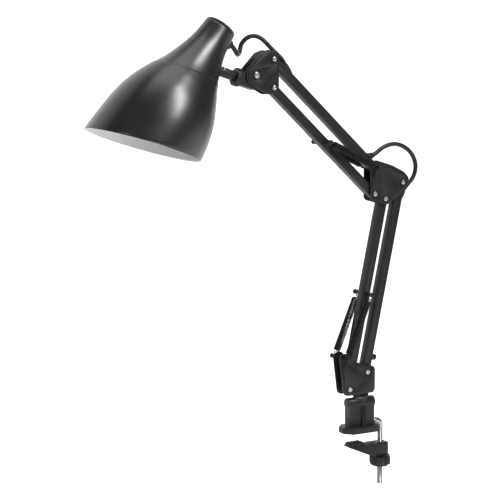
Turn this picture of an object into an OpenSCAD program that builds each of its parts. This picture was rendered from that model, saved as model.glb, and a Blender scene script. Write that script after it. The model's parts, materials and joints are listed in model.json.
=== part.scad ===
// Architect desk lamp: a clamp, a swivelling base bracket, two parallelogram arms
// balanced by springs, and a bell shade on a tilting and turning stem.
// Millimetres. +Z up, the arms lie in the XZ plane and reach towards -X.
// The origin is on the swivel axis, at the underside of the clamp's pad.

/* [Arms] */
// Lower arm, pivot to pivot
lower_len = 268; // [200:1:340]
// Lean of the lower arm from the vertical, towards +X
lower_lean = 12; // [0:1:20]
// Upper arm, pivot to pivot
upper_len = 215; // [160:1:280]
// Rise of the upper arm above the horizontal
upper_rise = 42; // [20:1:55]
// Width of the square arm tubes
bar_w = 12; // [10:0.5:13]
// Wall of the square arm tubes
bar_wall = 1.2; // [0.8:0.1:1.8]

/* [Brackets] */
// Thickness of the bracket plates
plate_t = 1.5; // [1:0.1:2.5]
// Height of the pressed panel on each plate
panel_h = 1.2; // [0.6:0.1:2]
// Thickness of the washers beside each tube
washer_t = 1; // [0.6:0.1:1.5]
// Radius of the pivot bolts
bolt_r = 2; // [1.5:0.1:2.5]
// Radial clearance of a pin in its bore
pin_gap = 0.05; // [0.02:0.01:0.1]

/* [Springs] */
// Outer radius of the springs
spring_r = 5.2; // [4:0.1:5.5]
// Diameter of the spring wire
wire_d = 1.2; // [0.8:0.1:1.6]
// Distance of each spring from the middle of the arm
spring_y = 15.5; // [15:0.1:18]

/* [Shade] */
// Length of the shade along its axis, on its long side
shade_len = 210; // [170:1:245]
// Outer radius of the shade at the rim
rim_r = 73.5; // [64:0.5:88]
// Outer radius of the neck at its top
neck_r = 21.5; // [20.5:0.1:26]
// Thickness of the shade
shade_t = 1.2; // [0.8:0.1:2]
// Lean of the shade's axis from the vertical
shade_lean = 36; // [20:1:50]
// Outer radius of the lamp holder
holder_r = 17.5; // [16.5:0.1:18.5]
// Inner radius of the E27 screw shell
socket_r = 13.1; // [13.05:0.05:13.5]

/* [Head joint] */
// Radius of the stem between the shade and the head bracket
stem_r = 6.5; // [5.5:0.1:7.5]
// Radius of the lock ring on the stem
ring_r = 12; // [10:0.5:13]

/* [Clamp] */
// Length of the clamp plate
clamp_len = 58; // [50:1:70]
// Depth of the clamp plate
clamp_depth = 34; // [30:1:44]
// Radius of the clamp's threaded rod
rod_r = 4; // [3.5:0.1:4.5]
// Opening between the pads
throat = 15; // [8:1:30]
// Radius of the swivel pin
swivel_r = 4; // [3.5:0.1:4.5]
// Radius over the grips of the clamp knob
knob_r = 16; // [13:0.5:18]

/* [Cable] */
// Radius of the cable
cable_r = 3; // [2.5:0.1:3]

/* [Hidden] */
$fn = 48;
big = 400;
eps = 0.01;

// Colours
black = [0.05, 0.05, 0.055];
soft_black = [0.09, 0.09, 0.095];
zinc = [0.75, 0.76, 0.78];
brass = [0.8, 0.65, 0.3];
white = [0.93, 0.93, 0.91];

// Pivots, as [x, z] in the arm's plane
lower_dir = [sin(lower_lean), cos(lower_lean)];
upper_dir = [-cos(upper_rise), sin(upper_rise)];
link_lower = [29, 22];
link_upper = [0, 37];
base_main = [-24, 63];
base_link = base_main + link_lower;
knee_main = base_main + lower_len * lower_dir;
knee_link = base_link + lower_len * lower_dir;
elbow_main = knee_main + [-17.5, 7];
elbow_link = elbow_main + link_upper;
head_main = elbow_main + upper_len * upper_dir;
head_link = head_main + link_upper;
nose = head_main + [-26.5, 16];
base_spring = base_main + [-9.5, 43.5];
lower_cross = base_main + lower_len / 2 * lower_dir;
upper_cross = elbow_main + upper_len / 2 * upper_dir;

// Widths across the arm's plane, from the middle outwards
bar_h = bar_w / 2;
side_gap = 0.3;
inner_h = bar_h + side_gap + washer_t;
plate_y = inner_h + plate_t;
panel_y = plate_y + panel_h;
recess_r = 7.5;
panel_inset = 3.2;

// Fasteners
bolt_head_r = 3.1;
bolt_head_h = 2.3;
hex_r = 1.5;
hex_depth = 1.3;
nut_af = 7;
nut_h = 3.2;
washer_r = 4.6;
nose_bolt_r = 2.5;
nose_head_r = 4;
nose_head_h = 3;
nose_nut_af = 8;

// Springs and their pins
wire_r = wire_d / 2;
stud_r = bolt_r;
stud_end_r = 3.4;
stud_end_t = 1.6;
loop_gap = 0.3;
loop_r = stud_r + wire_r + loop_gap;
pin_end_y = spring_y + spring_r + 0.6;
coil_pitch = 1.5;
cone_len = 4;

// Head joint, along the stem's axis from below the nose bolt
stem_rise = 17;
stem_angle = 180 - stem_rise;
stem_drop = 9.5;
stem_start = 17.5;
stem_end = 56;
spigot_r = 4;
knuckle_back = 4;
knuckle_seat = 3.5;
knuckle_h = 18;
knuckle_w = 2 * (inner_h - side_gap);
hub_r = 7;
hub_proud = 0.2;
ring_t = 8.5;
ring_gap = 0.3;

// Shade, in its own frame: z up the axis from the top of the neck, x to the arm's side
neck_top = nose + [-46.9, 61.3];
rim_slope = 18.6;
rim_mid = shade_len - tan(rim_slope) * rim_r;
crease_slope = 15;
crease_share = 0.366;
crease_mid = crease_share * shade_len;
crease_step = 0.7;
cap_t = 3;
spigot_len = 6;
holder_top = 16.5;
holder_len = 42;
shell_t = 1;
shell_top = 30;
shell_len = 24;
holder_roof = 2;
holder_bevel = 1.5;
contact_r = 4;
contact_gap = 0.5;
cap_bevel = 1;
cap_stem_r = 5;
gland_z = 10.5;
gland_out = 3.5;
switch_x = -11.5;
switch_l = 10;
switch_w = 8;
switch_gap = 0.35;
switch_low = -5;
switch_high = 0.8;
rocker_r = 14;
rocker_z = 9;
pivot_r = 0.75;
pivot_z = -2;
pivot_reach = 1.2;
// Share of the length down from the top, and share of the growth in radius
SHADE_CURVE = [[0, 0], [0.15, 0.08], [0.325, 0.31], [0.45, 0.56], [0.57, 0.77], [0.70, 0.9],
    [0.85, 0.965], [1, 1]];

// Clamp
pad_t = 1.5;
clamp_top = 8.5;
clamp_chamfer = 11;
clamp_left = -32;
barrel_r = 8;
barrel_z = 41;
barrel_left = -22.5;
barrel_right = 19.5;
web_h = 6.5;
rib_t = 6.5;
rib_y = 11;
post_r = 11;
post_z = 48;
boss_low_r = 5;
boss_low_z = 38;
swivel_bottom = 12;
bush_t = 1;
bush_flange_r = 8.5;
swivel_gap = 0.4;
rod_x = 33.5;
rod_z = 13;
rod_bend_r = 9;
rod_start = 6.5;
rod_end = -79.5;
jaw_left = -22;
jaw_right = 42;
jaw_depth = 17;
jaw_pad_t = 2.5;
jaw_h = 21;
knob_gap = 0.4;
knob_h = 14;
knob_grips = 6;
grip_r = 5;
knob_nut_af = 13;
knob_nut_h = 6.5;

// Cable grommets, along each link tube from its lower-numbered pivot
upper_entry_x = 28;
upper_entry_lean = -68;
upper_exit_x = upper_len - 14;
upper_exit_lean = 35;
lower_exit_x = 21;
lower_entry_x = lower_len - 18;
lower_entry_lean = 65;
boot_len = 8;
boot_r = 5;
boot_tip_r = 4;
boot_gap = 0.1;
hole_gap = 1;

// Cable routes, [x, y, z] from the named pivot
HEAD_ROUTE = [[-66, 0, 22], [-59.4, 0, 17.2], [-57, 0, 15.4], [-53.5, 0.5, 11.5], [-49.5, 3, 7.8],
    [-44.5, 9, 5.5], [-38.5, 15.5, 7.5], [-35, 19.5, 12], [-33.5, 20.5, 17], [-31, 20, 22],
    [-26, 18.5, 27], [-19.5, 16.5, 30], [-12.5, 14, 29.5], [-6, 11, 25.5], [-0.5, 8, 19.5],
    [6, 4.5, 12], [12, 2, 5.7], [17.2, 0.5, -0.3], [21.3, 0, -7.1], [24.8, 0, -14.3],
    [27.4, 0, -19.8], [30, 0, -25], [34.5, 0, -31], [74.5, 0, -67]];
ELBOW_ROUTE = [[-18.6, 0, 16.7], [-14.7, 0, 13.5], [-10.6, 0, 12.5], [-6.4, 0, 13.8], [-2.5, 0, 14.7],
    [1.8, 0, 15.7], [8.5, 0, 19.3], [17, 0, 25], [27, 0, 29], [38, 0, 30.5], [49, 0, 28.5],
    [59.5, 0, 23.3], [68, 0, 15.5], [73, 0, 6], [74.3, 0, -2.5], [72.7, 0, -11], [68.7, 0, -18.5],
    [62.5, 0, -24.7], [57.5, 0, -29.6], [53.6, 0, -34.2], [48.7, 0, -40.8], [44.3, 0, -46.5],
    [41.1, 0, -51.5], [38.2, 0, -61], [22, 0, -137.4]];
FOOT_ROUTE = [[14.6, 0, 68.5], [6.2, 0, 29.3]];
// Where one length of the cable ends and the next begins
shade_cut = 10;
head_cut = 14;
elbow_cut = len(HEAD_ROUTE) + 5;
knee_cut = len(HEAD_ROUTE) + 10;

function spot(p, y) = [p[0], y, p[1]];
function unit(v) = v / norm(v);
function angle_to(p, q) = atan2(q[1] - p[1], q[0] - p[0]);

// An outline whose corners [x, y, r] are rounded with arcs, listed anticlockwise
function corner_xy(c) = [c[0], c[1]];
function corner_arc(a, c, b, steps) =
    let (u = unit(corner_xy(a) - corner_xy(c)), v = unit(corner_xy(b) - corner_xy(c)),
        half = acos(u * v) / 2, middle = corner_xy(c) + unit(u + v) * c[2] / sin(half),
        from = corner_xy(c) + u * c[2] / tan(half) - middle,
        to = corner_xy(c) + v * c[2] / tan(half) - middle,
        start = atan2(from[1], from[0]),
        sweep = (atan2(to[1], to[0]) - start + 540) % 360 - 180)
    [for (k = [0:steps]) middle + c[2] * [cos(start + sweep * k / steps), sin(start + sweep * k / steps)]];
function rounded(corners, steps = 5) =
    let (n = len(corners))
    [for (i = [0:n - 1]) each corner_arc(corners[(i + n - 1) % n], corners[i], corners[(i + 1) % n], steps)];
// The same corners moved inwards by d, with smaller arcs
function inward(p, q) = let (e = unit(corner_xy(q) - corner_xy(p))) [-e[1], e[0]];
function inset(corners, d) =
    let (n = len(corners))
    [for (i = [0:n - 1])
        let (n1 = inward(corners[(i + n - 1) % n], corners[i]), n2 = inward(corners[i], corners[(i + 1) % n]),
            moved = corner_xy(corners[i]) + (n1 + n2) * d / (1 + n1 * n2))
        [moved[0], moved[1], max(corners[i][2] - d, 1.5)]];

// A smooth curve through points
function curve_point(a, b, c, d, t) =
    0.5 * (2 * b + (c - a) * t + (2 * a - 5 * b + 4 * c - d) * t * t + (3 * b - a - 3 * c + d) * t * t * t);
function smooth(points, steps) =
    let (n = len(points))
    [for (i = [0:n - 2]) for (k = [0:steps - 1])
        curve_point(points[max(i - 1, 0)], points[i], points[i + 1], points[min(i + 2, n - 1)], k / steps),
        points[n - 1]];

// Things across the arm's plane
module across(p, r, y0, y1, sides = 48) {
    translate([p[0], y1, p[1]])
        rotate([90, 0, 0])
            cylinder(h = y1 - y0, r = r, $fn = sides);
}
module slab(points, y0, y1) {
    translate([0, y1, 0])
        rotate([90, 0, 0])
            linear_extrude(height = y1 - y0)
                polygon(points);
}
module box(x0, x1, y0, y1, z0, z1) {
    translate([x0, y0, z0])
        cube([x1 - x0, y1 - y0, z1 - z0]);
}
// Local x runs from p towards q
module along(p, q) {
    translate(spot(p, 0))
        rotate([0, -angle_to(p, q), 0])
            children();
}
module on_stem() {
    translate(spot(nose, 0))
        rotate([0, -stem_angle, 0])
            translate([0, 0, stem_drop])
                children();
}
module stem_rod(r, s0, s1, sides = 48) {
    translate([s0, 0, 0])
        rotate([0, 90, 0])
            cylinder(h = s1 - s0, r = r, $fn = sides);
}
module in_shade() {
    translate(spot(neck_top, 0))
        rotate([0, shade_lean, 0])
            children();
}

// Fasteners. The head is on the -Y side
module bolt(p, r, head_r, head_h, y, nut_room) {
    difference() {
        union() {
            across(p, head_r, -y - head_h + 0.4, -y);
            across(p, head_r - 0.5, -y - head_h, -y - head_h + 0.4);
            across(p, r, -y, y + nut_room);
        }
        across(p, hex_r * r / bolt_r, -y - head_h - 1, -y - head_h + hex_depth, 6);
    }
}
module nut(p, r, flats, y) {
    difference() {
        across(p, flats / sqrt(3), y, y + nut_h, 6);
        across(p, r, y - 1, y + nut_h + 1);
    }
}
module washer(p, r, y0, y1) {
    difference() {
        across(p, washer_r, y0, y1);
        across(p, r + pin_gap, y0 - 1, y1 + 1);
    }
}
module washer_pair(p, r = bolt_r) {
    washer(p, r, bar_h + side_gap, inner_h);
    washer(p, r, -inner_h, -bar_h - side_gap);
}
// A pin with a flat button at each end
module ended_pin(p, y0, y1) {
    across(p, stud_r, y0, y1);
    across(p, stud_end_r, y1 - eps, y1 + stud_end_t);
    across(p, stud_end_r, y0 - stud_end_t, y0 + eps);
}

// Pressed bracket plates: a sheet with a raised panel that is dished round each pin
BASE_OUTLINE = [[-9.5, -9, 8], [42, -8, 6], [42, 29, 7], [22, 33, 8], [6, 39, 8], [-3, 51, 6],
    [-17.5, 50, 6]];
KNEE_OUTLINE = [[-7, -8.5, 7], [21, -16, 8], [54.5, 6, 6], [57, 21, 5], [49, 29, 8], [29, 38.5, 14],
    [3, 46, 7], [-7, 46, 7]];
HEAD_OUTLINE = [[-9, -8.5, 6], [7.5, -8.5, 6], [7.5, 46, 5], [-9, 49, 6], [-20, 45, 6], [-41.5, 22, 8],
    [-39.5, 7, 8]];
module pressed_plate(outline, origin, pins, holes, side) {
    y0 = side > 0 ? inner_h : -plate_y;
    y1 = side > 0 ? plate_y : -inner_h;
    py0 = side > 0 ? plate_y - eps : -panel_y;
    py1 = side > 0 ? panel_y : -plate_y + eps;
    difference() {
        union() {
            translate(spot(origin, 0))
                slab(rounded(outline), y0, y1);
            difference() {
                translate(spot(origin, 0))
                    slab(rounded(inset(outline, panel_inset)), py0, py1);
                for (p = pins)
                    across(p, recess_r, -big, big);
            }
        }
        for (h = holes)
            across([h[0], h[1]], h[2], -big, big);
    }
}
module base_plate(side) {
    hole = bolt_r + pin_gap;
    pressed_plate(BASE_OUTLINE, base_main, [base_main, base_link, base_spring],
        [[base_main[0], base_main[1], hole], [base_link[0], base_link[1], hole],
        [base_spring[0], base_spring[1], stud_r]], side);
}
module knee_plate(side) {
    hole = bolt_r + pin_gap;
    pressed_plate(KNEE_OUTLINE, elbow_main, [elbow_main, elbow_link, knee_main, knee_link],
        [[elbow_main[0], elbow_main[1], hole], [elbow_link[0], elbow_link[1], hole],
        [knee_main[0], knee_main[1], hole], [knee_link[0], knee_link[1], hole]], side);
}
module head_plate(side) {
    hole = bolt_r + pin_gap;
    pressed_plate(HEAD_OUTLINE, head_main, [head_main, head_link, nose],
        [[head_main[0], head_main[1], hole], [head_link[0], head_link[1], hole],
        [nose[0], nose[1], nose_bolt_r + pin_gap]], side);
}

// Square arm tubes with round ends, and the plugs that hold their pivots
plug_h = bar_h - bar_wall;
plug_len = 5.5;
module tube_bar(p, q, length, cross) {
    difference() {
        along(p, q) {
            box(0, length, -bar_h, bar_h, -bar_h, bar_h);
            across([0, 0], bar_h, -bar_h, bar_h);
            across([length, 0], bar_h, -bar_h, bar_h);
        }
        along(p, q)
            box(-bar_w, length + bar_w, -plug_h, plug_h, -plug_h, plug_h);
        across(p, bolt_r + pin_gap, -big, big);
        across(q, bolt_r + pin_gap, -big, big);
        for (c = cross)
            across(c, stud_r, -big, big);
    }
}
module end_plug() {
    difference() {
        intersection() {
            box(-bar_h, plug_len, -plug_h, plug_h, -plug_h, plug_h);
            union() {
                box(0, plug_len, -plug_h, plug_h, -plug_h, plug_h);
                across([0, 0], bar_h, -plug_h, plug_h);
            }
        }
        across([0, 0], bolt_r + pin_gap, -big, big);
    }
}
module plug_pair(p, q) {
    along(p, q)
        end_plug();
    along(q, p)
        end_plug();
}
// A place on a link tube's outer face, leaning along the tube
module on_face(p, q, x, side, lean) {
    along(p, q)
        translate([x, 0, side * bar_h])
            rotate([0, side > 0 ? lean : 180 - lean, 0])
                children();
}
module face_hole(p, q, x, side, lean) {
    on_face(p, q, x, side, lean)
        cylinder(h = 2 * bar_h / cos(lean), r = cable_r + hole_gap, center = true);
}
module boot(p, q, x, side, lean) {
    difference() {
        on_face(p, q, x, side, lean) {
            translate([0, 0, -boot_len])
                cylinder(h = boot_len, r = boot_r);
            cylinder(h = boot_len, r1 = boot_r, r2 = boot_tip_r);
        }
        along(p, q)
            box(0, lower_len + upper_len, -big, big, side > 0 ? -big : -bar_h, side > 0 ? bar_h : big);
        on_face(p, q, x, side, lean)
            cylinder(h = 3 * boot_len, r = cable_r + boot_gap, center = true);
    }
}

// Extension spring between two pins, with an eye at each end
module spring(p, q, y) {
    length = norm(q - p);
    coil_start = loop_r + 2 + cone_len;
    coil_len = length - 2 * coil_start;
    turns = floor(coil_len / coil_pitch);
    pitch = coil_len / turns;
    translate([0, y, 0])
        along(p, q) {
            for (end = [0, 1])
                translate([end * length, 0, 0])
                    rotate([0, 0, end * 180]) {
                        rotate([90, 0, 0])
                            rotate_extrude()
                                translate([loop_r, 0])
                                    circle(r = wire_r, $fn = 16);
                        translate([loop_r, 0, 0])
                            rotate([0, 90, 0])
                                cylinder(h = 2 + wire_r, r = wire_r, $fn = 16);
                        translate([loop_r + 2, 0, 0])
                            rotate([0, 90, 0])
                                cylinder(h = cone_len + eps, r1 = wire_r, r2 = spring_r - wire_r / 2);
                    }
            translate([coil_start, 0, 0])
                rotate([0, 90, 0])
                    rotate_extrude()
                        polygon([[0, 0], for (k = [0:turns - 1]) each [[spring_r - wire_r / 2, k * pitch],
                            [spring_r, (k + 0.5) * pitch]], [spring_r - wire_r / 2, coil_len], [0, coil_len]]);
        }
}

// A cable swept along a route, with a frame carried from point to point
cable_sides = 10;
function tangent(route, i) = unit(route[min(i + 1, len(route) - 1)] - route[max(i - 1, 0)]);
function carried(v, t) = unit(v - (v * t) * t);
function side_frames(route) =
    [for (i = 0, v = carried([0, 1, 0.3], tangent(route, 0)); i < len(route);
        i = i + 1, v = i < len(route) ? carried(v, tangent(route, i)) : v) v];
module cable(first, last) {
    n = last - first + 1;
    frames = side_frames(cable_route);
    rings = [for (i = [first:last]) for (k = [0:cable_sides - 1])
        let (t = tangent(cable_route, i), a = 360 * k / cable_sides)
        cable_route[i] + cable_r * (frames[i] * cos(a) + cross(t, frames[i]) * sin(a))];
    walls = [for (i = [0:n - 2]) for (k = [0:cable_sides - 1])
        let (j = (k + 1) % cable_sides)
        [(i + 1) * cable_sides + k, (i + 1) * cable_sides + j, i * cable_sides + j, i * cable_sides + k]];
    caps = [[for (k = [0:cable_sides - 1]) k],
        [for (k = [cable_sides - 1:-1:0]) (n - 1) * cable_sides + k]];
    polyhedron(points = rings, faces = concat(walls, caps));
}
function from_pivot(p, route) = [for (r = route) [p[0] + r[0], r[1], p[1] + r[2]]];
cable_route = concat(from_pivot(head_link, HEAD_ROUTE), from_pivot(elbow_link, ELBOW_ROUTE),
    from_pivot(base_link, FOOT_ROUTE));

// Clamp, fixed to the desk
module clamp_body() {
    x1 = clamp_left + clamp_len;
    y1 = clamp_depth / 2;
    color(black)
        difference() {
            union() {
                translate([0, 0, pad_t])
                    linear_extrude(height = clamp_top - pad_t)
                        polygon([[clamp_left + clamp_chamfer, -y1], [x1 - clamp_chamfer / 2, -y1],
                            [x1, -y1 + clamp_chamfer / 2], [x1, y1 - clamp_chamfer / 2],
                            [x1 - clamp_chamfer / 2, y1], [clamp_left + clamp_chamfer, y1],
                            [clamp_left, y1 - clamp_chamfer], [clamp_left, -y1 + clamp_chamfer]]);
                translate([barrel_left, 0, barrel_z])
                    rotate([0, 90, 0])
                        cylinder(h = barrel_right - barrel_left, r = barrel_r);
                translate([barrel_left + 1, 0, 0])
                    rotate([90, 0, 90])
                        linear_extrude(height = barrel_right - barrel_left - 2)
                            polygon([[-web_h, clamp_top - 1], [web_h, clamp_top - 1],
                                [barrel_r - 0.4, barrel_z], [0.4 - barrel_r, barrel_z]]);
                translate([-rib_t / 2, 0, 0])
                    rotate([90, 0, 90])
                        linear_extrude(height = rib_t)
                            polygon([[-rib_y, clamp_top - 1], [rib_y, clamp_top - 1],
                                [barrel_r, boss_low_z], [-barrel_r, boss_low_z]]);
                translate([0, 0, boss_low_z])
                    cylinder(h = post_z - boss_low_z, r1 = boss_low_r, r2 = post_r - 0.6);
            }
            translate([0, 0, swivel_bottom])
                cylinder(h = big, r = swivel_r + pin_gap + bush_t);
            translate([0, 0, post_z])
                cylinder(h = big, r = post_r);
            translate([rod_start, 0, rod_z])
                rotate([0, 90, 0])
                    cylinder(h = big, r = rod_r);
            across([rod_start + 7, rod_z], bolt_r, 0, big);
        }
}
module clamp_pad() {
    x1 = clamp_left + clamp_len;
    y1 = clamp_depth / 2 - 1;
    color(soft_black)
        linear_extrude(height = pad_t)
            polygon([[clamp_left + clamp_chamfer, -y1], [x1 - clamp_chamfer / 2, -y1],
                [x1 - 1, -y1 + clamp_chamfer / 2], [x1 - 1, y1 - clamp_chamfer / 2],
                [x1 - clamp_chamfer / 2, y1], [clamp_left + clamp_chamfer, y1],
                [clamp_left + 1, y1 - clamp_chamfer], [clamp_left + 1, -y1 + clamp_chamfer]]);
}
module swivel_bush() {
    outer = swivel_r + pin_gap + bush_t;
    color(white)
        difference() {
            union() {
                translate([0, 0, swivel_bottom])
                    cylinder(h = post_z - swivel_bottom, r = outer);
                translate([0, 0, post_z])
                    cylinder(h = bush_t, r = bush_flange_r);
            }
            translate([0, 0, swivel_bottom - 1])
                cylinder(h = big, r = swivel_r + pin_gap);
        }
}
module clamp_rod() {
    color(zinc) {
        translate([rod_start, 0, rod_z])
            rotate([0, 90, 0])
                cylinder(h = rod_x - rod_bend_r - rod_start, r = rod_r);
        translate([rod_x - rod_bend_r, 0, rod_z - rod_bend_r])
            rotate([90, 0, 0])
                rotate_extrude(angle = 90)
                    translate([rod_bend_r, 0])
                        circle(r = rod_r);
        translate([rod_x, 0, rod_end + 1])
            cylinder(h = rod_z - rod_bend_r - rod_end - 1, r = rod_r);
        translate([rod_x, 0, rod_end])
            cylinder(h = 1, r1 = rod_r - 0.8, r2 = rod_r);
    }
}
module rod_screw() {
    p = [rod_start + 7, rod_z];
    color(zinc)
        difference() {
            across(p, bolt_r, rod_r, web_h);
            across(p, hex_r * 0.7, web_h - hex_depth, web_h + 1, 6);
        }
}

// Jaw and knob, on the rod under the desk
jaw_top = -throat - jaw_pad_t;
jaw_under = jaw_top - jaw_h;
knob_top = jaw_under - knob_gap;
module lower_jaw() {
    y = jaw_depth / 2;
    color(black)
        difference() {
            slab([[jaw_left, jaw_top - 3], [jaw_left + 2, jaw_top], [4, jaw_top], [6, jaw_top - 3],
                [12, jaw_top - 3], [14, jaw_top - 1.5], [jaw_right, jaw_top - 1.5], [jaw_right, jaw_under],
                [20, jaw_under], [8, jaw_top - 16], [jaw_left + 7, jaw_top - 6]], -y, y);
            translate([rod_x, 0, -big / 2])
                cylinder(h = big, r = rod_r + pin_gap);
        }
}
module jaw_pad() {
    y = jaw_depth / 2;
    color(soft_black)
        difference() {
            slab([[jaw_left + 2, jaw_top], [3, jaw_top], [1.5, -throat], [jaw_left + 4, -throat]],
                0.5 - y, y - 0.5);
            for (x = [jaw_left + 7:4:0])
                across([x, -throat], 0.6, -big, big, 24);
        }
}
module clamp_knob() {
    color(black)
        difference() {
            union() {
                translate([rod_x, 0, knob_top - knob_h])
                    cylinder(h = knob_h, r = knob_r - grip_r + 1);
                for (k = [0:knob_grips - 1])
                    translate([rod_x, 0, 0])
                        rotate([0, 0, k * 360 / knob_grips])
                            translate([knob_r - grip_r, 0, knob_top - knob_h + 3])
                                cylinder(h = knob_h - 3, r = grip_r);
            }
            translate([rod_x, 0, -big / 2])
                cylinder(h = big, r = rod_r + pin_gap);
            translate([rod_x, 0, knob_top - knob_h - 1])
                cylinder(h = knob_nut_h + 1, r = knob_nut_af / sqrt(3), $fn = 6);
        }
}
module knob_nut() {
    color(zinc)
        translate([rod_x, 0, knob_top - knob_h])
            difference() {
                cylinder(h = knob_nut_h, r = knob_nut_af / sqrt(3), $fn = 6);
                translate([0, 0, -1])
                    cylinder(h = knob_nut_h + 2, r = rod_r + pin_gap);
            }
}

// Base bracket, turning on the clamp
module base_plate_front() { color(black) base_plate(-1); }
module base_plate_rear() { color(black) base_plate(1); }
tang_w = 18;
tang_top = 73;
post_top = 53.5;
module swivel_post() {
    low = post_z + bush_t + 0.3;
    color(black) {
        translate([0, 0, low])
            cylinder(h = post_top - low - 1.5, r = post_r);
        translate([0, 0, post_top - 1.5])
            cylinder(h = 1.5, r1 = post_r, r2 = post_r - 3.8);
        translate([0, 0, swivel_bottom + swivel_gap])
            cylinder(h = low - swivel_bottom, r = swivel_r);
        intersection() {
            box(-tang_w / 2, tang_w / 2, -inner_h, inner_h, post_top - 2, tang_top);
            cylinder(h = big, r = post_r);
        }
    }
}
module base_bolts() {
    color(zinc)
        for (p = [base_main, base_link])
            bolt(p, bolt_r, bolt_head_r, bolt_head_h, plate_y, nut_h + 1);
}
module base_nuts() {
    color(zinc)
        for (p = [base_main, base_link])
            nut(p, bolt_r, nut_af, plate_y);
}
module base_washers() {
    color(soft_black)
        for (p = [base_main, base_link])
            washer_pair(p);
}
module base_spring_studs() {
    color(black)
        for (side = [-1, 1]) {
            y0 = side > 0 ? inner_h : -pin_end_y;
            y1 = side > 0 ? pin_end_y : -inner_h;
            across(base_spring, stud_r, y0, y1);
            across(base_spring, stud_end_r, side > 0 ? y1 - eps : y0 - stud_end_t,
                side > 0 ? y1 + stud_end_t : y0 + eps);
            across(base_spring, stud_end_r, side > 0 ? plate_y : -plate_y - 1.5,
                side > 0 ? plate_y + 1.5 : -plate_y);
        }
}

// Lower arm
module lower_link_bar() {
    color(black)
        difference() {
            tube_bar(base_link, knee_link, lower_len, []);
            face_hole(base_link, knee_link, lower_exit_x, -1, 0);
            face_hole(base_link, knee_link, lower_entry_x, -1, lower_entry_lean);
        }
}
module lower_link_plugs() { color(soft_black) plug_pair(base_link, knee_link); }
module lower_grommets() {
    color(soft_black) {
        boot(base_link, knee_link, lower_exit_x, -1, 0);
        boot(base_link, knee_link, lower_entry_x, -1, lower_entry_lean);
    }
}
module cable_lower() {
    color(soft_black)
        cable(knee_cut, len(cable_route) - 1);
}
module lower_main_bar() {
    color(black)
        tube_bar(base_main, knee_main, lower_len, [lower_cross]);
}
module lower_main_plugs() { color(soft_black) plug_pair(base_main, knee_main); }
module lower_cross_pin() { color(black) ended_pin(lower_cross, -pin_end_y, pin_end_y); }
module lower_spring_front() { color(soft_black) spring(base_spring, lower_cross, -spring_y); }
module lower_spring_rear() { color(soft_black) spring(base_spring, lower_cross, spring_y); }

// Knee bracket, kept level by the lower arm
module knee_plate_front() { color(black) knee_plate(-1); }
module knee_plate_rear() { color(black) knee_plate(1); }
module knee_bolts() {
    color(zinc)
        for (p = [elbow_main, knee_main, knee_link])
            bolt(p, bolt_r, bolt_head_r, bolt_head_h, plate_y, nut_h + 1);
}
module knee_nuts() {
    color(zinc)
        for (p = [elbow_main, knee_main, knee_link])
            nut(p, bolt_r, nut_af, plate_y);
}
module knee_washers() {
    color(soft_black)
        for (p = [elbow_main, knee_main, knee_link, elbow_link])
            washer_pair(p);
}
module knee_spring_axle() { color(black) ended_pin(elbow_link, -pin_end_y, pin_end_y); }
module cable_knee() {
    color(soft_black)
        cable(elbow_cut, knee_cut);
}

// Upper arm
module upper_link_bar() {
    color(black)
        difference() {
            tube_bar(head_link, elbow_link, upper_len, []);
            face_hole(head_link, elbow_link, upper_entry_x, 1, upper_entry_lean);
            face_hole(head_link, elbow_link, upper_exit_x, 1, upper_exit_lean);
        }
}
module upper_link_plugs() { color(soft_black) plug_pair(head_link, elbow_link); }
module upper_grommets() {
    color(soft_black) {
        boot(head_link, elbow_link, upper_entry_x, 1, upper_entry_lean);
        boot(head_link, elbow_link, upper_exit_x, 1, upper_exit_lean);
    }
}
module cable_upper() {
    color(soft_black)
        cable(head_cut, elbow_cut);
}
module upper_main_bar() {
    color(black)
        tube_bar(elbow_main, head_main, upper_len, [upper_cross]);
}
module upper_main_plugs() { color(soft_black) plug_pair(elbow_main, head_main); }
module upper_cross_pin() { color(black) ended_pin(upper_cross, -pin_end_y, pin_end_y); }
module upper_spring_front() { color(soft_black) spring(elbow_link, upper_cross, -spring_y); }
module upper_spring_rear() { color(soft_black) spring(elbow_link, upper_cross, spring_y); }

// Head bracket, kept level by the upper arm
module head_plate_front() { color(black) head_plate(-1); }
module head_plate_rear() { color(black) head_plate(1); }
module head_bolts() {
    color(zinc)
        for (p = [head_main, head_link])
            bolt(p, bolt_r, bolt_head_r, bolt_head_h, plate_y, nut_h + 1);
}
module head_nuts() {
    color(zinc) {
        for (p = [head_main, head_link])
            nut(p, bolt_r, nut_af, plate_y);
        nut(nose, nose_bolt_r, nose_nut_af, plate_y);
    }
}
module head_washers() {
    color(soft_black)
        for (p = [head_main, head_link])
            washer_pair(p);
}
module nose_bolt() {
    color(zinc)
        bolt(nose, nose_bolt_r, nose_head_r, nose_head_h, plate_y, nut_h + 1);
}
module cable_head() {
    color(soft_black)
        cable(shade_cut, head_cut);
}

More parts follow.
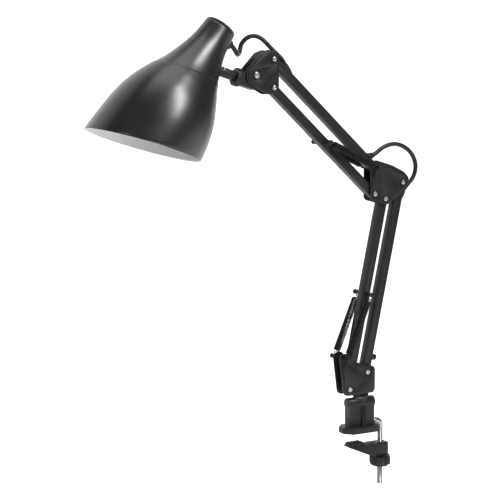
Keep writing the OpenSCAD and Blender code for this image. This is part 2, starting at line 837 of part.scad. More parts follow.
// Knuckle on the nose bolt, and the stem that turns in it
module knuckle() {
    w = knuckle_w / 2;
    color(black)
        difference() {
            union() {
                across(nose, hub_r, -w, w);
                on_stem()
                    box(-knuckle_back, stem_start - 0.2, hub_proud - w, w - hub_proud,
                        -knuckle_h / 2, knuckle_h / 2);
            }
            across(nose, nose_bolt_r + pin_gap, -big, big);
            on_stem() {
                stem_rod(spigot_r + pin_gap, -big / 2, big / 2);
                stem_rod(screw_head_r + 0.4, -big / 2, -knuckle_seat);
            }
        }
}
screw_head_r = 5;
screw_head_h = 2.5;
module stem_lock_ring() {
    flutes = 12;
    color(black)
        on_stem()
            difference() {
                union() {
                    stem_rod(ring_r, stem_start + ring_gap + 0.8, stem_start + ring_gap + ring_t - 0.8);
                    stem_rod(ring_r - 0.8, stem_start + ring_gap, stem_start + ring_gap + ring_t);
                }
                stem_rod(stem_r + pin_gap, -big / 2, big / 2);
                for (k = [0:flutes - 1])
                    rotate([k * 360 / flutes, 0, 0])
                        translate([0, 0, ring_r + 1])
                            stem_rod(2, stem_start - 1, stem_start + ring_t + 2);
            }
}
module head_stem() {
    color(black)
        difference() {
            on_stem() {
                stem_rod(stem_r, stem_start, stem_end);
                stem_rod(spigot_r, -knuckle_seat - ring_gap, stem_start + eps);
            }
            on_stem()
                stem_rod(bolt_r, -big / 2, 6);
        }
}
module stem_screws() {
    head_s = -knuckle_seat - ring_gap;
    color(zinc)
        on_stem() {
            stem_rod(bolt_r, head_s - eps, 6);
            difference() {
                stem_rod(screw_head_r, head_s - screw_head_h, head_s);
                stem_rod(hex_r, -big / 2, head_s - screw_head_h + hex_depth, 6);
            }
            for (place = [[44.5, 215], [40.5, 240]])
                translate([place[0], 0, 0])
                    rotate([place[1] - 90, 0, 0])
                        translate([0, 0, stem_r])
                            cylinder(h = 1, r1 = 1.6, r2 = 1.1);
        }
}

// Shade
function shade_radius(f) = neck_r + (rim_r - neck_r) * f;
shade_points = smooth([for (s = SHADE_CURVE) [shade_radius(s[1]), -shade_len * s[0]]], 3);
module revolved(shrink) {
    rotate_extrude($fn = 96)
        polygon([[0, 0], for (p = shade_points) [p[0] - shrink, p[1]], [0, -shade_len]]);
}
module below(mid, slope) {
    translate([0, 0, -mid])
        rotate([0, -slope, 0])
            box(-big, big, -big, big, -big, 0);
}
module shade() {
    color(black)
        difference() {
            in_shade()
                difference() {
                    union() {
                        revolved(crease_step);
                        intersection() {
                            revolved(0);
                            below(crease_mid, crease_slope);
                        }
                    }
                    revolved(shade_t + crease_step);
                    below(rim_mid, rim_slope);
                    box(-big, big, -big, big, -cap_t, big);
                    gland_core(0);
                }
            on_stem()
                stem_rod(stem_r, 20, stem_end);
        }
}
module lampholder() {
    color(soft_black)
        in_shade()
            difference() {
                union() {
                    translate([0, 0, -holder_top - holder_len])
                        cylinder(h = holder_len - holder_bevel, r = holder_r);
                    translate([0, 0, -holder_top - holder_bevel])
                        cylinder(h = holder_bevel, r1 = holder_r, r2 = holder_r - holder_bevel);
                }
                translate([0, 0, -holder_top - holder_len - 1])
                    cylinder(h = holder_top + holder_len + 1 - shell_top + holder_roof,
                        r = socket_r + shell_t);
            }
}
module screw_shell() {
    color(brass)
        in_shade()
            translate([0, 0, -shell_top - shell_len])
                difference() {
                    cylinder(h = shell_len, r = socket_r + shell_t);
                    translate([0, 0, -1])
                        cylinder(h = shell_len + 2, r = socket_r);
                }
}
module centre_contact() {
    color(brass)
        in_shade()
            translate([0, 0, -shell_top + contact_gap])
                cylinder(h = holder_roof - contact_gap, r = contact_r);
}
module neck_cap() {
    inner_r = neck_r - shade_t - crease_step;
    color(black)
        in_shade()
            difference() {
                union() {
                    translate([0, 0, -cap_t])
                        cylinder(h = cap_t - cap_bevel, r = neck_r - crease_step);
                    translate([0, 0, -cap_bevel])
                        cylinder(h = cap_bevel, r1 = neck_r - crease_step,
                            r2 = neck_r - crease_step - cap_bevel);
                    translate([0, 0, -cap_t - spigot_len])
                        cylinder(h = spigot_len + eps, r = inner_r);
                }
                difference() {
                    translate([0, 0, -cap_t - spigot_len - 1])
                        cylinder(h = spigot_len + 1, r = inner_r - 1.5);
                    translate([0, 0, -big / 2])
                        cylinder(h = big, r = cap_stem_r);
                }
                box(switch_x - switch_l / 2 - switch_gap, switch_x + switch_l / 2 + switch_gap,
                    -switch_w / 2 - switch_gap, switch_w / 2 + switch_gap, -cap_t - 1, 1);
                switch_pivot(pin_gap);
                gland_core(1);
            }
    color(black)
        in_shade()
            translate([0, 0, -holder_top])
                cylinder(h = holder_top - cap_t - spigot_len + eps, r = cap_stem_r);
}
// The switch rocks on a pivot across it, whose ends turn in the cap
module switch_pivot(grow) {
    translate([switch_x, 0, pivot_z])
        rotate([90, 0, 0])
            cylinder(h = switch_w + 2 * (pivot_reach + grow), r = pivot_r + grow, center = true);
}
module rocker_switch() {
    color(soft_black)
        in_shade()
            union() {
                intersection() {
                    box(switch_x - switch_l / 2, switch_x + switch_l / 2, -switch_w / 2, switch_w / 2,
                        switch_low, switch_high);
                    translate([switch_x, 0, rocker_z])
                        rotate([90, 0, 0])
                            cylinder(h = switch_w, r = rocker_r, center = true, $fn = 96);
                }
                switch_pivot(0);
            }
}
// The hole in the neck's wall, and the gland that fills it
module gland_core(grow) {
    translate([0, 0, -gland_z])
        rotate([0, 90, 0])
            cylinder(h = big, r = cable_r + 1 + grow);
}
module cable_gland() {
    color(soft_black)
        in_shade()
            difference() {
                union() {
                    translate([neck_r - 4, 0, -gland_z])
                        rotate([0, 90, 0])
                            cylinder(h = gland_out + 5, r = cable_r + 1);
                    difference() {
                        union() {
                            box(neck_r - 4, neck_r + gland_out, -4.5, 4.5, -gland_z - 7, -gland_z + 1);
                            translate([neck_r - 4, 0, -gland_z + 0.5])
                                rotate([0, 90, 0])
                                    cylinder(h = gland_out + 4, r = 4.5);
                        }
                        revolved(crease_step);
                    }
                }
                translate([0, 0, -gland_z])
                    rotate([0, 90, 0])
                        cylinder(h = big, r = cable_r);
            }
}
module cable_shade() {
    color(soft_black)
        cable(0, shade_cut);
}

clamp_body();
clamp_pad();
swivel_bush();
clamp_rod();
rod_screw();
lower_jaw();
jaw_pad();
clamp_knob();
knob_nut();
base_plate_front();
base_plate_rear();
swivel_post();
base_bolts();
base_nuts();
base_washers();
base_spring_studs();
lower_link_bar();
lower_link_plugs();
lower_grommets();
cable_lower();
lower_main_bar();
lower_main_plugs();
lower_cross_pin();
lower_spring_front();
lower_spring_rear();
knee_plate_front();
knee_plate_rear();
knee_bolts();
knee_nuts();
knee_washers();
knee_spring_axle();
cable_knee();
upper_link_bar();
upper_link_plugs();
upper_grommets();
cable_upper();
upper_main_bar();
upper_main_plugs();
upper_cross_pin();
upper_spring_front();
upper_spring_rear();
head_plate_front();
head_plate_rear();
head_bolts();
head_nuts();
head_washers();
nose_bolt();
cable_head();
knuckle();
stem_lock_ring();
head_stem();
stem_screws();
shade();
lampholder();
screw_shell();
centre_contact();
neck_cap();
rocker_switch();
cable_gland();
cable_shade();
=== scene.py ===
"""Architect desk lamp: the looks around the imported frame. Metres, +Z up."""
import json
import math

import bpy
from mathutils import Matrix, Vector


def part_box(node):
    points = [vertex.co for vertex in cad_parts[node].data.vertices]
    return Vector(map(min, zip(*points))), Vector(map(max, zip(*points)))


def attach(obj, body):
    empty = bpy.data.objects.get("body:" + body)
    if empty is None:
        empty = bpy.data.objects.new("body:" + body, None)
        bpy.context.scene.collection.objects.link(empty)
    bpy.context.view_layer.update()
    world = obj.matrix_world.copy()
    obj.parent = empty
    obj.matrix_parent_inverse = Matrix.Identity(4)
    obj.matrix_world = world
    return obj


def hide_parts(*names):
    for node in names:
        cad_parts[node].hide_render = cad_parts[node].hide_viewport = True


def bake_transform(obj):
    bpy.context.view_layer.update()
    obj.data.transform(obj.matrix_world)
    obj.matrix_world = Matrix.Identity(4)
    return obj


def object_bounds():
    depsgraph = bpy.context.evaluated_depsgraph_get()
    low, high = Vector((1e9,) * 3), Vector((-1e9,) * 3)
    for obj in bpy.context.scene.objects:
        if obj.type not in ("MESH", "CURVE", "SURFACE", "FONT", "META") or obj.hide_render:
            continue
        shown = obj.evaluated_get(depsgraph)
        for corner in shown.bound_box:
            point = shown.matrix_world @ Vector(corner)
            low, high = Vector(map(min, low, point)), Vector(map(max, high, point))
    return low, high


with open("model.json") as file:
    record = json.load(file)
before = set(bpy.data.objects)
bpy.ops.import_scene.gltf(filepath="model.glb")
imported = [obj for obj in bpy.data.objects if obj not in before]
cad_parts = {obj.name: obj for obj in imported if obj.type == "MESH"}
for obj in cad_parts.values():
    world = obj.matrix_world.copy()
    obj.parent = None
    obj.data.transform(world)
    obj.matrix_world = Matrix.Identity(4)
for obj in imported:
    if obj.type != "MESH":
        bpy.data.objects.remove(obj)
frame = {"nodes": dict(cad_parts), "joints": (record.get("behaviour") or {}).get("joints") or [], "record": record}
cad_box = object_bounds()
MM = 0.001
ACROSS = Vector((0, 1, 0))
PIVOT = {j["name"]: Vector(j["pos_m"]) for j in frame["joints"] if "pos_m" in j}
RANGE = {j["name"]: j.get("range_deg") for j in frame["joints"]}


def middle(node):
    low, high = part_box(node)
    return (low + high) / 2


# ---------------------------------------------------------------- camera
def add_camera():
    data = bpy.data.cameras.new("camera")
    data.lens = 95.4
    data.sensor_width = 36
    data.clip_end = 50
    camera = bpy.data.objects.new("camera", data)
    camera.location = (-1.0148, -1.5124, 0.4602)
    camera.rotation_euler = (math.radians(90 - 6.46), 0, math.radians(-29))
    bpy.context.scene.collection.objects.link(camera)
    bpy.context.scene.camera = camera


# ---------------------------------------------------------------- mesh tools
def add_mesh(name, points, faces, slot, body=None, materials=None, face_material=None):
    mesh = bpy.data.meshes.new(name)
    mesh.from_pydata([tuple(p) for p in points], [], faces)
    piece = bpy.data.objects.new(name, mesh)
    bpy.context.scene.collection.objects.link(piece)
    for material in materials or [MATERIAL[slot]]:
        mesh.materials.append(material)
    for k, polygon in enumerate(mesh.polygons):
        polygon.use_smooth = True
        if face_material:
            polygon.material_index = face_material[k]
    if body:
        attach(piece, body)
    return piece


def smooth_route(points, steps):
    """A curve through the points, with steps pieces between each two."""
    found = []
    last = len(points) - 1
    for i in range(last):
        a, b = points[max(i - 1, 0)], points[i]
        c, d = points[i + 1], points[min(i + 2, last)]
        for k in range(steps):
            t = k / steps
            found.append(0.5 * (2 * b + (c - a) * t + (2 * a - 5 * b + 4 * c - d) * t ** 2
                                + (3 * b - a - 3 * c + d) * t ** 3))
    return found + [points[last]]


def tube(path, radius, sides, side=ACROSS):
    """Points and faces of a closed tube; radius is a number or a function of the ring's number."""
    points, faces = [], []
    last = len(path) - 1
    for i, p in enumerate(path):
        ahead = (path[min(i + 1, last)] - path[max(i - 1, 0)]).normalized()
        side = (side - ahead * side.dot(ahead)).normalized()
        other = ahead.cross(side)
        r = radius(i) if callable(radius) else radius
        for k in range(sides):
            a = math.tau * k / sides
            points.append(p + r * (math.cos(a) * side + math.sin(a) * other))
    for i in range(last):
        for k in range(sides):
            j = (k + 1) % sides
            faces.append((i * sides + k, i * sides + j, (i + 1) * sides + j, (i + 1) * sides + k))
    faces.append(tuple(range(sides - 1, -1, -1)))
    faces.append(tuple(last * sides + k for k in range(sides)))
    return points, faces


# ---------------------------------------------------------------- materials
class Nodes:
    """A material's node tree, with short calls for what every finish here uses."""

    def __init__(self, name):
        self.material = bpy.data.materials.new(name)
        self.material.use_nodes = True
        self.tree = self.material.node_tree
        self.shader = self.tree.nodes["Principled BSDF"]
        coordinates = self.tree.nodes.new("ShaderNodeTexCoord")
        self.place = coordinates.outputs["Object"]

    def join(self, a, b):
        self.tree.links.new(a, b)

    def noise(self, scale, detail=3.0, stretch=None):
        node = self.tree.nodes.new("ShaderNodeTexNoise")
        node.inputs["Scale"].default_value = scale
        node.inputs["Detail"].default_value = detail
        place = self.place
        if stretch:
            mapping = self.tree.nodes.new("ShaderNodeMapping")
            mapping.inputs["Scale"].default_value = stretch
            self.join(place, mapping.inputs["Vector"])
            place = mapping.outputs["Vector"]
        self.join(place, node.inputs["Vector"])
        return node.outputs["Fac"]

    def cells(self, scale):
        node = self.tree.nodes.new("ShaderNodeTexVoronoi")
        node.inputs["Scale"].default_value = scale
        self.join(self.place, node.inputs["Vector"])
        return node.outputs["Distance"]

    def spread(self, value, low, high, from_low=0.3, from_high=0.7):
        node = self.tree.nodes.new("ShaderNodeMapRange")
        node.inputs["From Min"].default_value = from_low
        node.inputs["From Max"].default_value = from_high
        node.inputs["To Min"].default_value = low
        node.inputs["To Max"].default_value = high
        self.join(value, node.inputs["Value"])
        return node.outputs["Result"]

    def mix(self, share, first, second):
        node = self.tree.nodes.new("ShaderNodeMix")
        node.data_type = "RGBA"
        self.join(share, node.inputs["Factor"])
        for socket, colour in ((node.inputs[6], first), (node.inputs[7], second)):
            if isinstance(colour, tuple):
                socket.default_value = (*colour, 1)
            else:
                self.join(colour, socket)
        return node.outputs[2]

    def edges(self, radius):
        """1 on convex and concave edges, 0 on flats."""
        bevel = self.tree.nodes.new("ShaderNodeBevel")
        bevel.inputs["Radius"].default_value = radius
        flat = self.tree.nodes.new("ShaderNodeNewGeometry")
        dot = self.tree.nodes.new("ShaderNodeVectorMath")
        dot.operation = "DOT_PRODUCT"
        self.join(bevel.outputs["Normal"], dot.inputs[0])
        self.join(flat.outputs["Normal"], dot.inputs[1])
        return self.spread(dot.outputs["Value"], 1, 0, 0.75, 0.98)

    def bump(self, height, strength, distance):
        node = self.tree.nodes.new("ShaderNodeBump")
        node.inputs["Strength"].default_value = strength
        node.inputs["Distance"].default_value = distance
        self.join(height, node.inputs["Height"])
        self.join(node.outputs["Normal"], self.shader.inputs["Normal"])

    def set(self, **values):
        for name, value in values.items():
            self.shader.inputs[name.replace("_", " ")].default_value = value
        return self


def powder_coat():
    """Satin black powder coat: a fine pebble, cloudy gloss, and every edge painted a little paler, as rubbed wear
    and as a painted highlight.
    """
    n = Nodes("powder_black")
    n.set(Metallic=0.0, Specular_IOR_Level=0.22)
    cloud = n.spread(n.noise(45), 0, 1)
    base = n.mix(cloud, (0.007, 0.007, 0.0075), (0.011, 0.011, 0.012))
    # Every edge, convex and concave, is painted paler: rubbed wear on the outer edges and a painted highlight
    # along all of them.
    edge_wear_and_highlight = n.mix(n.edges(0.0006), base, (0.05, 0.05, 0.052))
    n.join(edge_wear_and_highlight, n.shader.inputs["Base Color"])
    n.join(n.spread(n.noise(160, 5), 0.36, 0.5), n.shader.inputs["Roughness"])
    n.bump(n.noise(1500, 2), 0.12, 0.00015)
    return n.material


def shade_paint():
    """Smooth satin black paint with a slight orange peel."""
    n = Nodes("shade_black")
    n.set(Metallic=0.0, Specular_IOR_Level=0.5, Coat_Weight=0.2, Coat_Roughness=0.28)
    base = n.mix(n.spread(n.noise(18), 0, 1), (0.005, 0.005, 0.0055), (0.008, 0.008, 0.0085))
    n.join(base, n.shader.inputs["Base Color"])
    n.join(n.spread(n.noise(120, 4), 0.31, 0.35), n.shader.inputs["Roughness"])
    n.bump(n.noise(420, 2), 0.05, 0.0002)
    return n.material


def white_enamel_painted_shade():
    n = Nodes("lampshade_inside_painted_shade")
    n.set(Metallic=0.0, Specular_IOR_Level=0.5)
    # The enamel is really white; its colour is set to a mid grey as painted shade, for the inside of the bell
    # lying in shadow.
    base = n.mix(n.spread(n.noise(22), 0, 1), (0.5, 0.5, 0.495), (0.46, 0.46, 0.455))
    n.join(base, n.shader.inputs["Base Color"])
    n.join(n.spread(n.noise(90, 4), 0.3, 0.42), n.shader.inputs["Roughness"])
    n.bump(n.noise(500, 2), 0.05, 0.0002)
    return n.material


def moulded(name, colour, rough, grain, depth):
    """Moulded plastic or rubber with a fine spark-eroded grain."""
    n = Nodes(name)
    n.set(Metallic=0.0, Specular_IOR_Level=0.22)
    paler = tuple(min(1, c * 1.35 + 0.004) for c in colour)
    n.join(n.mix(n.spread(n.noise(70, 4), 0, 1), colour, paler), n.shader.inputs["Base Color"])
    n.join(n.spread(n.noise(220, 4), rough - 0.06, rough + 0.07), n.shader.inputs["Roughness"])
    n.bump(n.cells(grain), 0.25, depth)
    return n.material


def plated(name, colour, rough, stretch=(1, 1, 1), darker=0.78):
    """Plated metal: fine scratches and dull patches."""
    n = Nodes(name)
    n.set(Metallic=1.0)
    dull = tuple(c * darker for c in colour)
    n.join(n.mix(n.spread(n.noise(260, 5), 0, 1), dull, colour), n.shader.inputs["Base Color"])
    n.join(n.spread(n.noise(500, 6, stretch), rough - 0.07, rough + 0.09), n.shader.inputs["Roughness"])
    n.bump(n.noise(1400, 3, stretch), 0.06, 0.0001)
    return n.material


MATERIAL = {
    "powder_black": powder_coat(),
    "shade_black": shade_paint(),
    "plastic_black": moulded("plastic_black", (0.006, 0.006, 0.0065), 0.42, 1900, 0.00006),
    "cable_black": moulded("cable_black", (0.007, 0.007, 0.0075), 0.36, 900, 0.00004),
    "spring_black": plated("spring_black", (0.022, 0.022, 0.023), 0.42, (1, 1, 1), 0.6),
    "pad_rubber": moulded("pad_rubber", (0.01, 0.01, 0.01), 0.7, 1300, 0.0001),
    "nickel": plated("nickel", (0.5, 0.495, 0.485), 0.26),
    "zinc": plated("zinc", (0.36, 0.365, 0.375), 0.3, (1, 1, 0.12)),
    "brass": plated("brass", (0.83, 0.62, 0.3), 0.28, (1, 1, 0.3)),
    "white_nylon": moulded("white_nylon", (0.8, 0.8, 0.77), 0.4, 1500, 0.00004),
}
# The bell's inside: white enamel set to mid grey, as painted shade.
INSIDE_PAINTED_SHADE = white_enamel_painted_shade()


# ---------------------------------------------------------------- cable
# The cable's route in mm, each part from its own pivot, as in the CAD
HEAD_ROUTE = [(-66, 0, 22), (-59.4, 0, 17.2), (-57, 0, 15.4), (-53.5, 0.5, 11.5), (-49.5, 3, 7.8),
              (-44.5, 9, 5.5), (-38.5, 15.5, 7.5), (-35, 19.5, 12), (-33.5, 20.5, 17), (-31, 20, 22),
              (-26, 18.5, 27), (-19.5, 16.5, 30), (-12.5, 14, 29.5), (-6, 11, 25.5), (-0.5, 8, 19.5),
              (6, 4.5, 12), (12, 2, 5.7), (17.2, 0.5, -0.3), (21.3, 0, -7.1), (24.8, 0, -14.3),
              (27.4, 0, -19.8), (30, 0, -25), (34.5, 0, -31), (74.5, 0, -67)]
ELBOW_ROUTE = [(-18.6, 0, 16.7), (-14.7, 0, 13.5), (-10.6, 0, 12.5), (-6.4, 0, 13.8), (-2.5, 0, 14.7),
               (1.8, 0, 15.7), (8.5, 0, 19.3), (17, 0, 25), (27, 0, 29), (38, 0, 30.5), (49, 0, 28.5),
               (59.5, 0, 23.3), (68, 0, 15.5), (73, 0, 6), (74.3, 0, -2.5), (72.7, 0, -11),
               (68.7, 0, -18.5), (62.5, 0, -24.7), (57.5, 0, -29.6), (53.6, 0, -34.2),
               (48.7, 0, -40.8), (44.3, 0, -46.5), (41.1, 0, -51.5), (38.2, 0, -61), (22, 0, -137.4)]
FOOT_ROUTE = [(14.6, 0, 68.5), (6.2, 0, 29.3)]
CABLE_R = 3 * MM
CABLE_STEPS = 6
CABLE_SIDES = 20
SHADE_CUT = 10
HEAD_CUT = 14
ELBOW_CUT = len(HEAD_ROUTE) + 5
KNEE_CUT = len(HEAD_ROUTE) + 10
# The moulded ribs round the cable where it comes down to the head bracket
RIB_START = 11
RIB_END = 16
RIB_HEIGHT = 0.35 * MM


def cable_path():
    route = []
    routes = {"head_level": HEAD_ROUTE, "upper_arm": ELBOW_ROUTE, "lower_arm": FOOT_ROUTE}
    for joint, rows in routes.items():
        route += [PIVOT[joint] + MM * Vector(row) for row in rows]
    return smooth_route(route, CABLE_STEPS)


def add_cable(path, node, first, last):
    """One length of the cable, from route point first to last."""
    i0, i1 = first * CABLE_STEPS, last * CABLE_STEPS
    part = path[i0:i1 + 1]

    def radius(i):
        at = (i + i0) / CABLE_STEPS
        if RIB_START <= at <= RIB_END and (i + i0) % 2 == 0:
            return CABLE_R - RIB_HEIGHT
        return CABLE_R
    points, faces = tube(part, radius, CABLE_SIDES)
    piece = add_mesh(node + "_sheath", points, faces, "cable_black")
    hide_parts(node)
    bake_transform(piece)


def add_cables():
    path = cable_path()
    last = (len(path) - 1) // CABLE_STEPS
    add_cable(path, "cable_shade", 0, SHADE_CUT)
    add_cable(path, "cable_head", SHADE_CUT, HEAD_CUT)
    add_cable(path, "cable_upper", HEAD_CUT, ELBOW_CUT)
    add_cable(path, "cable_knee", ELBOW_CUT, KNEE_CUT)
    add_cable(path, "cable_lower", KNEE_CUT, last)


# ---------------------------------------------------------------- springs
WIRE_R = 0.6 * MM
SPRING_R = 5.2 * MM
EYE_R = 2.9 * MM
TAIL = 2 * MM
CONE = 4 * MM
PITCH = 1.3 * MM
PER_TURN = 20
STRETCHES = 4


def spring_path(p, q):
    """The wire's own line, from one eye round the pin at p, along the coil, to the eye round q."""
    along = (q - p).normalized()
    up = ACROSS.cross(along)
    length = (q - p).length
    coil_start = EYE_R + TAIL + CONE
    coil_len = length - 2 * coil_start
    turns = round(coil_len / PITCH)
    coil_r = SPRING_R - WIRE_R

    def at(s, r, a):
        return p + along * s + r * (math.cos(a) * up + math.sin(a) * ACROSS)
    eye = [p + EYE_R * (math.cos(a) * along + math.sin(a) * up)
           for a in (math.radians(20 + 340 * k / 20) for k in range(20))]
    coil = [at(coil_start + coil_len * k / (turns * PER_TURN), coil_r, math.tau * k / PER_TURN)
            for k in range(turns * PER_TURN + 1)]
    lead = [at(EYE_R + (TAIL + CONE) * k / 16, coil_r * (k / 16) ** 0.7, math.tau * (k / 16 - 1))
            for k in range(16)]
    first = eye + lead
    swapped = [p + q - x for x in reversed(first)]
    mirrored = [x + 2 * ACROSS * (p - x).dot(ACROSS) for x in swapped]
    return first + coil + mirrored


def turned(v, angle):
    return Matrix.Rotation(angle, 3, ACROSS) @ v


def swing(v):
    return math.atan2(v.x, v.z)


def weight_at(t, p, q, pivot, angle):
    """How much of the joint's turn a point at share t must take for the spring to stay straight."""
    rest = (p - pivot).lerp(q - pivot, t)
    straight = (p - pivot).lerp(turned(q - pivot, angle), t)
    return min(1, max(0, (swing(straight) - swing(rest)) / angle))


def add_spring(node, p, q, joint):
    side = ACROSS * (middle(node).dot(ACROSS))
    p, q = p + side - ACROSS * p.dot(ACROSS), q + side - ACROSS * q.dot(ACROSS)
    pivot, angle = PIVOT[joint], math.radians(max(RANGE[joint], key=abs)) * 0.7
    path = spring_path(p, q)
    along = (q - p).normalized()
    length = (q - p).length
    cuts = [0, 0.12, 0.3, 0.6, 1]
    weights = [weight_at(t, p, q, pivot, angle) for t in cuts]
    weights[0], weights[-1] = 0, 1
    places = [(x - p).dot(along) / length for x in path]
    inner_rings = [next(i for i, t in enumerate(places) if t >= cut) for cut in cuts[1:-1]]
    rings = [0, *inner_rings, len(path) - 1]
    for k in range(STRETCHES):
        points, faces = tube(path[rings[k]:rings[k + 1] + 1], WIRE_R, 8)
        piece = add_mesh(f"{node}_wire_{k + 1}", points, faces, "spring_black")
        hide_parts(node)
        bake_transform(piece)


def add_springs():
    foot, cross = middle("base_spring_studs"), middle("lower_cross_pin")
    elbow, upper = PIVOT["upper_arm"], middle("upper_cross_pin")
    for side in ("front", "rear"):
        add_spring("lower_spring_" + side, foot, cross, "lower_main_pivot")
        add_spring("upper_spring_" + side, elbow, upper, "upper_main_pivot")


# ---------------------------------------------------------------- shade
SHADE_LEN = 210 * MM
RIM_R = 73.5 * MM
NECK_R = 21.5 * MM
SHADE_T = 1.2 * MM
STEP = 0.7 * MM
LEAN = math.radians(36)
CAP_T = 3 * MM
RIM_SLOPE = math.radians(18.6)
RIM_MID = SHADE_LEN - math.tan(RIM_SLOPE) * RIM_R
CREASE_SLOPE = math.radians(15)
CREASE_MID = 0.366 * SHADE_LEN
# Share of the length down from the top, and share of the growth in radius
CURVE = [(0, 0), (0.15, 0.08), (0.325, 0.31), (0.45, 0.56), (0.57, 0.77), (0.70, 0.9),
         (0.85, 0.965), (1, 1)]
SHADE_SIDES = 160
UPPER_ROWS = 26
LOWER_ROWS = 44


def shade_place():
    """The shade's frame: its origin at the top of the neck, z up the axis."""
    top = PIVOT["head_tilt"] + MM * Vector((-46.9, 0, 61.3))
    return Matrix.Translation(top) @ Matrix.Rotation(LEAN, 4, "Y")


def shade_radius():
    points = [Vector((SHADE_LEN * s, NECK_R + (RIM_R - NECK_R) * g, 0)) for s, g in CURVE]
    curve = smooth_route(points, 8)

    def radius(s):
        s = min(max(s, 0), SHADE_LEN)
        k = next((i for i in range(1, len(curve)) if curve[i].x >= s), len(curve) - 1)
        a, b = curve[k - 1], curve[k]
        return a.y + (b.y - a.y) * (s - a.x) / (b.x - a.x)
    return radius


def depth_on_plane(radius, mid, slope, c, shrink):
    """How far down the shade a slanted plane meets the wall at that side, c being the side's cosine."""
    s = mid
    for _ in range(30):
        s = mid - math.tan(slope) * (radius(s) - shrink) * c
    return s


def add_shade():
    radius = shade_radius()
    place = shade_place()
    outer, inner = [], []
    for k in range(SHADE_SIDES):
        a = math.tau * k / SHADE_SIDES
        c = math.cos(a)
        crease = depth_on_plane(radius, CREASE_MID, CREASE_SLOPE, c, 0)
        rim = depth_on_plane(radius, RIM_MID, RIM_SLOPE, c, 0)
        first = CAP_T
        last = crease - 0.8 * MM
        column = [(first + (last - first) * i / UPPER_ROWS, STEP) for i in range(UPPER_ROWS + 1)]
        column += [(crease - 0.35 * MM, STEP), (crease - 0.1 * MM, 0.9 * STEP),
                   (crease + 0.1 * MM, 0.15 * STEP), (crease + 0.45 * MM, 0)]
        first = crease + 1.4 * MM
        last = rim - 2.2 * MM
        column += [(first + (last - first) * i / LOWER_ROWS, 0) for i in range(LOWER_ROWS + 1)]
        column += [(rim - 1.4 * MM, 0.25 * MM), (rim - 1 * MM, 0.1 * MM), (rim - 0.5 * MM, 0),
                   (rim - 0.12 * MM, 0.25 * MM), (rim, 0.8 * MM)]
        outer.append([(s, radius(s) - off, a) for s, off in column])
        wall = SHADE_T + STEP
        top = CAP_T + 0.5 * MM
        column = [(rim - 0.1 * MM, wall - 0.1 * MM), (rim - 0.6 * MM, wall + 0.2 * MM),
                  (rim - 1.6 * MM, wall)]
        last = rim - 2.6 * MM
        rows = UPPER_ROWS + LOWER_ROWS
        column += [(last + (top - last) * i / rows, wall) for i in range(rows + 1)]
        inner.append([(s, radius(s) - off, a) for s, off in column])
    points, faces, which = [], [], []
    rows = len(outer[0]) + len(inner[0])
    for column in (o + i for o, i in zip(outer, inner)):
        points += [place @ Vector((r * math.cos(a), r * math.sin(a), -s)) for s, r, a in column]
    for k in range(SHADE_SIDES):
        j = (k + 1) % SHADE_SIDES
        for i in range(rows):
            n = (i + 1) % rows
            faces.append((k * rows + i, k * rows + n, j * rows + n, j * rows + i))
            which.append(0 if i < len(outer[0]) - 1 or i == rows - 1 else 1)
    piece = add_mesh("shade_shell", points, faces, "shade_black", "shade",
                     [MATERIAL["shade_black"], INSIDE_PAINTED_SHADE], which)
    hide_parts("shade")


# ---------------------------------------------------------------- clamp rod
ROD_R = 4 * MM
THREAD_PITCH = 1.25 * MM
THREAD_DEPTH = 0.55 * MM
ROD_BEND = 9 * MM
THREAD_SIDES = 32
THREAD_RUNOUT = 2.5 * MM
RINGS_PER_TURN = 8
THREAD_TOP = -2 * MM


def add_rod():
    """The bent rod, with a real thread up its straight leg."""
    low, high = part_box("clamp_rod")
    x = high.x - ROD_R
    z = high.z - ROD_R
    bend = [Vector((x - ROD_BEND + ROD_BEND * math.sin(a), 0, z - ROD_BEND + ROD_BEND * math.cos(a)))
            for a in (math.radians(90 * k / 16) for k in range(17))]
    leg_top, leg_bottom = THREAD_TOP + 1 * MM, low.z
    path = [Vector((low.x, 0, z)), *bend, Vector((x, 0, leg_top))]
    points, faces = tube(path, ROD_R, THREAD_SIDES)
    rings = int((leg_top - leg_bottom) / THREAD_PITCH * RINGS_PER_TURN)
    base = len(points)
    for i in range(rings + 1):
        h = leg_top + (leg_bottom - leg_top) * i / rings
        ends = min(1, (leg_top - h) / THREAD_RUNOUT)
        tip = max(0, 1 * MM - (h - leg_bottom)) * 0.8
        for k in range(THREAD_SIDES):
            a = math.tau * k / THREAD_SIDES
            turn = (h / THREAD_PITCH + k / THREAD_SIDES) % 1
            groove = THREAD_DEPTH * ends * abs(2 * turn - 1)
            r = ROD_R - max(groove, tip)
            points.append(Vector((x + r * math.cos(a), r * math.sin(a), h)))
    for i in range(rings):
        for k in range(THREAD_SIDES):
            j = (k + 1) % THREAD_SIDES
            a = base + i * THREAD_SIDES
            faces.append((a + k, a + THREAD_SIDES + k, a + THREAD_SIDES + j, a + j))
    faces.append(tuple(base + rings * THREAD_SIDES + k for k in range(THREAD_SIDES - 1, -1, -1)))
    faces.append(tuple(base + k for k in range(THREAD_SIDES)))
    piece = add_mesh("clamp_rod_threaded", points, faces, "zinc", "clamp")
    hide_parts("clamp_rod")


# ---------------------------------------------------------------- CAD nodes
def dress_cad_nodes():
    """The record's finish on every node, and small rounded edges."""
    for row in frame["record"]["subparts"]:
        node = frame["nodes"][row["node"]]
        if node.hide_render:
            continue
        node.data.materials.clear()
        node.data.materials.append(MATERIAL[row["material_slot"]])
        weld = node.modifiers.new("weld", "WELD")
        weld.merge_threshold = 0.00001
        flat = node.modifiers.new("flat", "DECIMATE")
        flat.decimate_type = "DISSOLVE"
        flat.angle_limit = math.radians(0.5)
        bevel = node.modifiers.new("edges", "BEVEL")
        bevel.width = 0.0003
        bevel.segments = 2
        bevel.limit_method = "ANGLE"
        bevel.angle_limit = math.radians(40)
        bevel.harden_normals = False
        for polygon in node.data.polygons:
            polygon.use_smooth = True


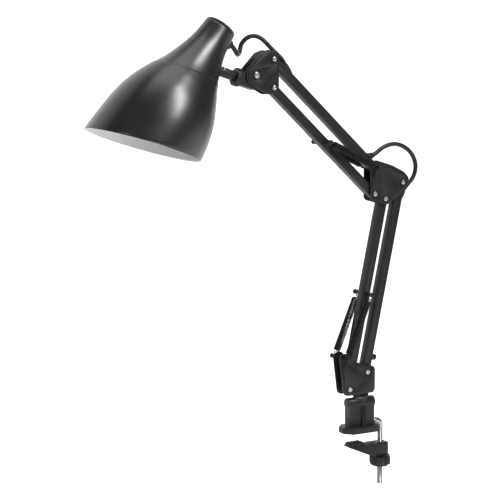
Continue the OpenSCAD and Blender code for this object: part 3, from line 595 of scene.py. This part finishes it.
# ---------------------------------------------------------------- stage
def add_light(name, place, target, size, power):
    data = bpy.data.lights.new(name, "AREA")
    data.shape = "RECTANGLE"
    data.size, data.size_y = size
    data.energy = power
    light = bpy.data.objects.new(name, data)
    light.location = place
    light.rotation_euler = (Vector(target) - Vector(place)).to_track_quat("-Z", "Y").to_euler()
    bpy.context.scene.collection.objects.link(light)


FLOOR_GLOW = 0.62
ROOM_LIGHT = 0.1
BACKDROP_Y = 2.6
BACKDROP_RISE = 1.2
BACKDROP_TOP = 6
FLOOR_FRONT = -6.0
FLOOR_HALF_WIDTH = 9
AIM = (-0.1, 0, 0.35)


def backdrop_profile():
    """The floor from front to back, an arc, and the wall behind, as (y, z)."""
    centre_y = BACKDROP_Y - BACKDROP_RISE
    quarter = [math.radians(90 * k / 12) for k in range(13)]
    arc = [(centre_y + BACKDROP_RISE * math.sin(a), BACKDROP_RISE - BACKDROP_RISE * math.cos(a))
           for a in quarter]
    return [(FLOOR_FRONT, 0), *arc, (BACKDROP_Y, BACKDROP_TOP)]


def add_stage():
    floor_z = cad_box[0].z - 0.2 * MM
    profile = backdrop_profile()
    points = [(x, y, floor_z + z) for x in (-FLOOR_HALF_WIDTH, FLOOR_HALF_WIDTH) for y, z in profile]
    n = len(profile)
    faces = [(i, i + 1, n + i + 1, n + i) for i in range(n - 1)]
    mesh = bpy.data.meshes.new("floor")
    mesh.from_pydata(points, [], faces)
    for polygon in mesh.polygons:
        polygon.use_smooth = True
    floor = bpy.data.objects.new("floor", mesh)
    bpy.context.scene.collection.objects.link(floor)
    paint = Nodes("floor_paint")
    paint.set(Base_Color=(0.93, 0.93, 0.93, 1), Roughness=0.9, Specular_IOR_Level=0.1,
              Emission_Color=(1, 1, 1, 1), Emission_Strength=FLOOR_GLOW)
    mesh.materials.append(paint.material)
    world = bpy.data.worlds.new("studio")
    bpy.context.scene.world = world
    world.use_nodes = True
    world.node_tree.nodes["Background"].inputs["Color"].default_value = (1, 1, 1, 1)
    seen = world.node_tree.nodes.new("ShaderNodeLightPath")
    strength = world.node_tree.nodes.new("ShaderNodeMapRange")
    strength.inputs["To Min"].default_value = ROOM_LIGHT
    strength.inputs["To Max"].default_value = 1
    world.node_tree.links.new(seen.outputs["Is Camera Ray"], strength.inputs["Value"])
    world.node_tree.links.new(strength.outputs["Result"],
                              world.node_tree.nodes["Background"].inputs["Strength"])
    add_light("key", (0.35, -1.2, 1.65), AIM, (0.36, 1.1), 40)
    add_light("fill", (-1.9, -1.1, 0.9), AIM, (0.5, 1.4), 9)
    add_light("top", (-0.2, -0.1, 2.4), AIM, (1.2, 1.2), 12)
    bpy.context.scene.view_settings.view_transform = "Standard"


add_camera()
add_cables()
add_springs()
add_shade()
add_rod()
dress_cad_nodes()
add_stage()
